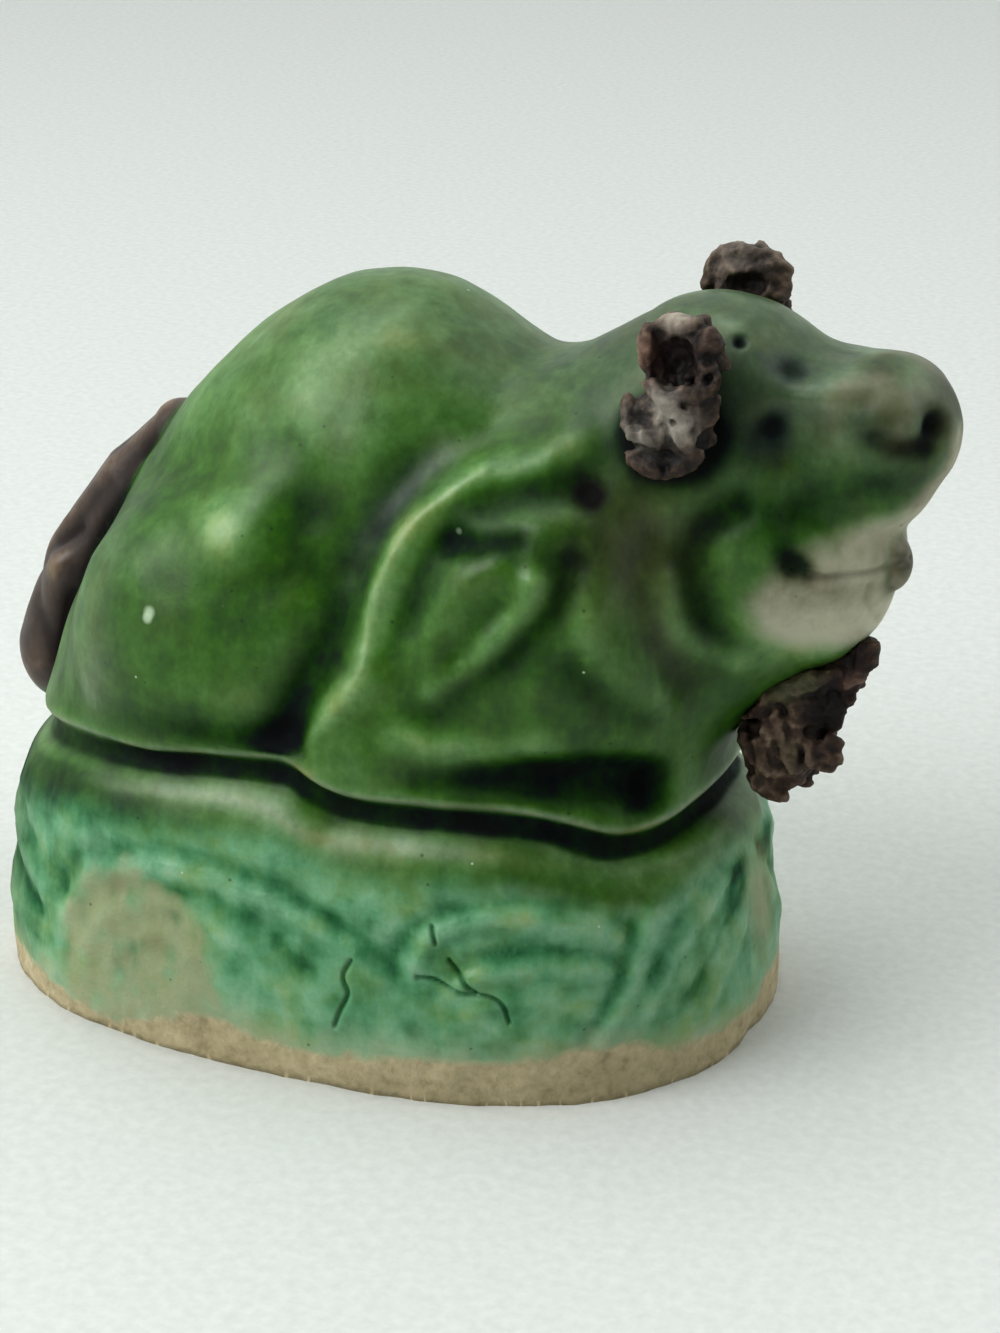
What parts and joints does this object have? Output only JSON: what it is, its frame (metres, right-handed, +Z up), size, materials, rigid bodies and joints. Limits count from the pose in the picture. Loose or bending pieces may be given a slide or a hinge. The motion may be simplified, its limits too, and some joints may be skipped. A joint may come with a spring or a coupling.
{
  "type": "foo dog figurine",
  "caption": "Small crouching foo dog on a wave-carved plinth, moulded green-glazed ceramic with rough clay tufts for ears and beard. It stands on its flat underside.",
  "frame": {"origin": "centre of the plinth's flat underside, on the plane the figurine stands on", "axes": "+X the way the head looks, along the plinth's length; +Z up; -Y is the figure's right flank, the side the picture shows"},
  "size_m": [0.0707, 0.0404, 0.0552],
  "materials": {
    "green_glazed_ceramic": "glossy lead glaze, green on the figure and turquoise on the plinth",
    "crumbed_clay": "rough, with a thin brown wash"
  },
  "bodies": {
    "root": {"foo_dog_on_plinth": "green_glazed_ceramic", "ear_tuft_right": "crumbed_clay", "ear_tuft_left": "crumbed_clay", "beard_tuft": "crumbed_clay"}
  },
  "joints": []
}
